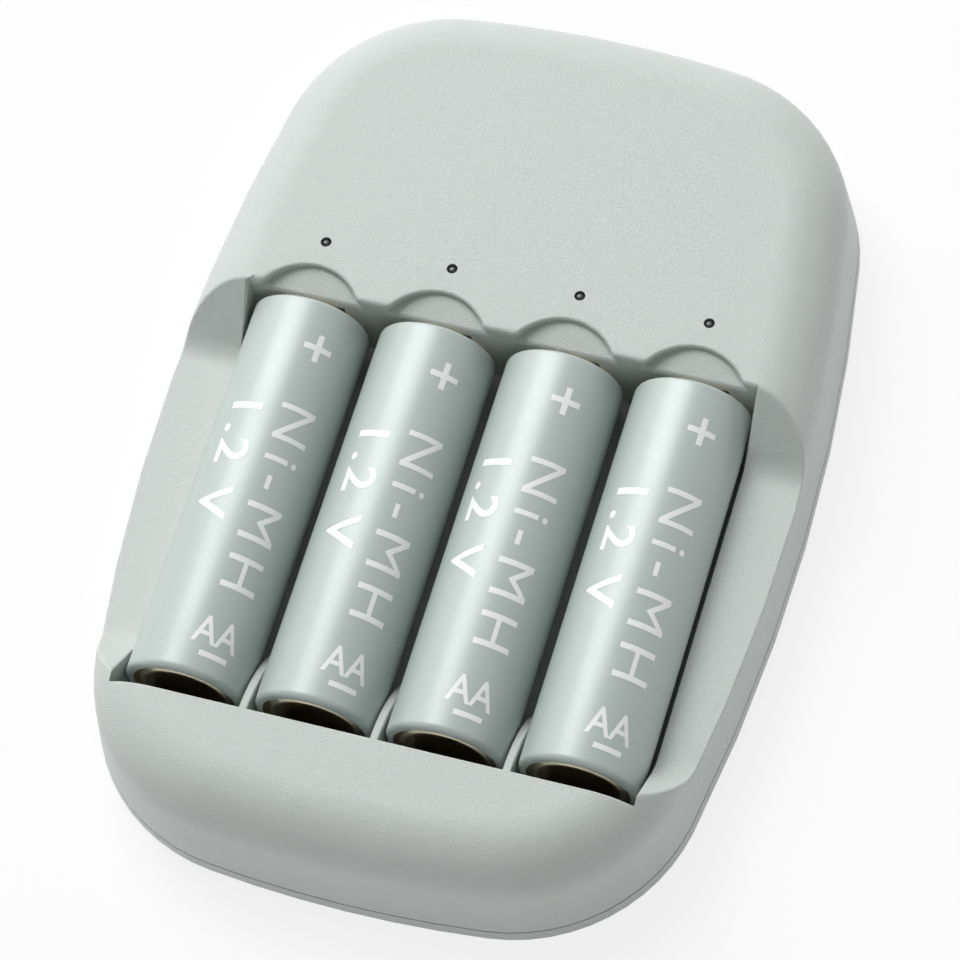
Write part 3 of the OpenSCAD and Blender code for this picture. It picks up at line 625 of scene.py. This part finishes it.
for k in range(cells["count"]):
    makePrint(k)
print("printing wrapped on the sleeves")

# light pipes with a domed tip just under the top face
pipes = {
    "radius": 0.55 * mm,
    "dome": 0.2 * mm,
    "sink": 0.06 * mm,
    "collar": 1.3 * mm,
    "collarLow": 14.3 * mm,
    "collarHigh": 15.3 * mm,
    "segments": 40,
}


def makePipe(k):
    p = pipes
    low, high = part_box(f"light_pipe_{k + 1}")
    middle = Vector(((low.x + high.x) / 2, (low.y + high.y) / 2, 0))
    top = high.z - p["sink"]
    ball = (p["radius"] ** 2 + p["dome"] ** 2) / (2 * p["dome"])
    edge = math.degrees(math.asin(p["radius"] / ball))
    profile = [(0, low.z), (p["radius"], low.z), (p["radius"], p["collarLow"]), (p["collar"], p["collarLow"]),
               (p["collar"], p["collarHigh"]), (p["radius"], p["collarHigh"]), (p["radius"], top - p["dome"])]
    profile += roundOff((0, top - ball), ball, 90 - edge, 90, steps=8)[1:]
    bm = spinProfile(profile, middle, (0, 0, 1), (1, 0, 0), p["segments"], closed=False)
    node = f"light_pipe_{k + 1}"
    piece = addPiece(f"lightPipe{k + 1}", bm, finishes["light_pipe"], [node], smooth=40)
    tip = piece.data.attributes.new("tipMiddle", "FLOAT", "POINT")
    for i, v in enumerate(piece.data.vertices):
        out = math.hypot(v.co.x - middle.x, v.co.y - middle.y) / p["radius"]
        tip.data[i].value = max(0, 1 - out) if v.co.z > p["collarHigh"] else 0


for k in range(cells["count"]):
    makePipe(k)
print("light pipes made")

# finishes of the CAD nodes by the start of their names, the replaced ones among them
nodeFinishes = {
    "top_housing": "housing", "base_cover": "housing", "light_pipe": "light_pipe",
    "cell": "cell_can", "sleeve": "cell_sleeve",
    "housing_screws": "steel", "board_screws": "steel", "circuit_board": "board",
    "mains_inlet": "black_plastic", "inlet_pin": "nickel", "transformer": "coil_tape",
    "input_capacitor": "capacitor_sleeve", "output_capacitor": "capacitor_sleeve",
    "control_chip": "black_plastic", "fuse": "black_plastic", "bridge_rectifier": "black_plastic",
    "negative_bus": "nickel", "positive_contact": "nickel", "negative_contact": "nickel",
    "indicator_led": "led",
}
for name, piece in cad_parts.items():
    slot = next(s for start, s in nodeFinishes.items() if name.startswith(start))
    piece.data.materials.clear()
    piece.data.materials.append(finishes[slot])
print("carried nodes finished")

# studio: a pale floor that shows near white, a sky that is brightest at the horizon,
# a large key from behind on the left and a weak lamp low on the same side
studio = {
    "floorSize": 3,
    "floorTone": (0.92, 0.92, 0.92, 1),
    "floorWhite": 0.82,
    "floorGloss": 1,
    "skyTone": (1, 1, 1, 1),
    "skyLow": 1.2,
    "skyHigh": 0.19,
    "skyTurn": 0.4,
    "skyGloss": 0.5,
    "key": {"place": (-0.63, 0.72, 1.26), "size": 1.02, "watts": 23.3},
    "side": {"place": (-0.85, 0.45, 0.42), "size": 0.45, "watts": 1.0},
}


def softbox(name, p):
    lamp = bpy.data.lights.new(name, "AREA")
    lamp.size = p["size"]
    lamp.energy = p["watts"]
    holder = bpy.data.objects.new(name, lamp)
    scene.collection.objects.link(holder)
    holder.location = p["place"]
    holder.rotation_euler = (-Vector(p["place"])).to_track_quat("-Z", "Y").to_euler()


# share of white in the floor or the sky: all of it for the camera's own rays, some of it for gloss
def whiteShare(tree, gloss):
    path = addNode(tree, "ShaderNodeLightPath")
    partly = addNode(tree, "ShaderNodeMath", {1: gloss}, operation="MULTIPLY")
    either = addNode(tree, "ShaderNodeMath", operation="MAXIMUM")
    tree.links.new(path.outputs["Is Glossy Ray"], partly.inputs[0])
    tree.links.new(path.outputs["Is Camera Ray"], either.inputs[0])
    tree.links.new(partly.outputs[0], either.inputs[1])
    return either.outputs[0]


# the floor's white leaves a part to its matte shader, which keeps the shadow
def makeFloor(p):
    bm = bmesh.new()
    bmesh.ops.create_grid(bm, x_segments=1, y_segments=1, size=p["floorSize"] / 2)
    mesh = bpy.data.meshes.new("paleFloor")
    bm.to_mesh(mesh)
    bm.free()
    floor = bpy.data.objects.new("paleFloor", mesh)
    scene.collection.objects.link(floor)
    material = bpy.data.materials.new("paleFloor")
    material.use_nodes = True
    tree = material.node_tree
    tree.nodes.clear()
    matte = addNode(tree, "ShaderNodeBsdfDiffuse", {"Color": p["floorTone"]})
    white = addNode(tree, "ShaderNodeEmission", {"Strength": 1})
    share = addNode(tree, "ShaderNodeMath", {1: p["floorWhite"]}, operation="MULTIPLY")
    blend = addNode(tree, "ShaderNodeMixShader")
    out = addNode(tree, "ShaderNodeOutputMaterial")
    tree.links.new(whiteShare(tree, p["floorGloss"]), share.inputs[0])
    tree.links.new(share.outputs[0], blend.inputs[0])
    tree.links.new(matte.outputs[0], blend.inputs[1])
    tree.links.new(white.outputs[0], blend.inputs[2])
    tree.links.new(blend.outputs[0], out.inputs[0])
    mesh.materials.append(material)


def makeWorld(p):
    world = bpy.data.worlds.new("studioWorld")
    world.use_nodes = True
    tree = world.node_tree
    tree.nodes.clear()
    way = addNode(tree, "ShaderNodeTexCoord")
    axes = addNode(tree, "ShaderNodeSeparateXYZ")
    height = addNode(tree, "ShaderNodeMapRange", {"From Max": p["skyTurn"], "To Min": p["skyLow"],
                                                  "To Max": p["skyHigh"]})
    fill = addNode(tree, "ShaderNodeBackground", {"Color": p["skyTone"]})
    white = addNode(tree, "ShaderNodeBackground", {"Color": p["skyTone"], "Strength": 1})
    blend = addNode(tree, "ShaderNodeMixShader")
    out = addNode(tree, "ShaderNodeOutputWorld")
    tree.links.new(way.outputs["Generated"], axes.inputs[0])
    tree.links.new(axes.outputs["Z"], height.inputs["Value"])
    tree.links.new(height.outputs[0], fill.inputs["Strength"])
    tree.links.new(whiteShare(tree, p["skyGloss"]), blend.inputs[0])
    tree.links.new(fill.outputs[0], blend.inputs[1])
    tree.links.new(white.outputs[0], blend.inputs[2])
    tree.links.new(blend.outputs[0], out.inputs[0])
    scene.world = world


makeFloor(studio)
makeWorld(studio)
softbox("key", studio["key"])
softbox("side", studio["side"])
print("studio lit")
